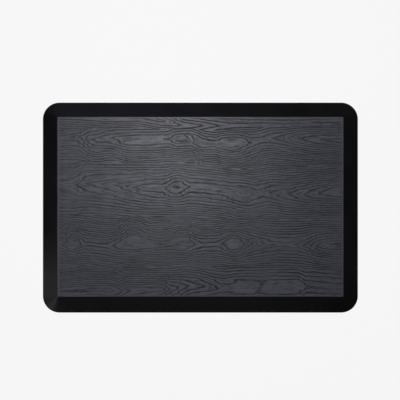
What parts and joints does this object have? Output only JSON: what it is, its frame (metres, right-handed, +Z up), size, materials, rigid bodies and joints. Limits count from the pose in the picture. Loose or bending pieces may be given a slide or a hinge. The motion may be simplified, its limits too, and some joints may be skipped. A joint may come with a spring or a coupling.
{
  "type": "anti fatigue mat",
  "caption": "Rectangular anti fatigue floor mat with a wood grain embossed top sheet, a foam core and a smooth bevelled border with rounded corners.",
  "frame": {"origin": "centre of the mat's footprint, on the floor", "axes": "+X along the length, +Y across the depth, towards the rear, +Z up"},
  "size_m": [0.9144, 0.6096, 0.019],
  "materials": {
    "wear_sheet": "satin, embossed wood grain",
    "border": "smooth matte",
    "foam": "matte closed-cell foam",
    "base": "matte, non-slip"
  },
  "bodies": {
    "root": {"wear_sheet": "wear_sheet", "bevel_border": "border", "foam_core": "foam", "base_sheet": "base"}
  },
  "joints": []
}
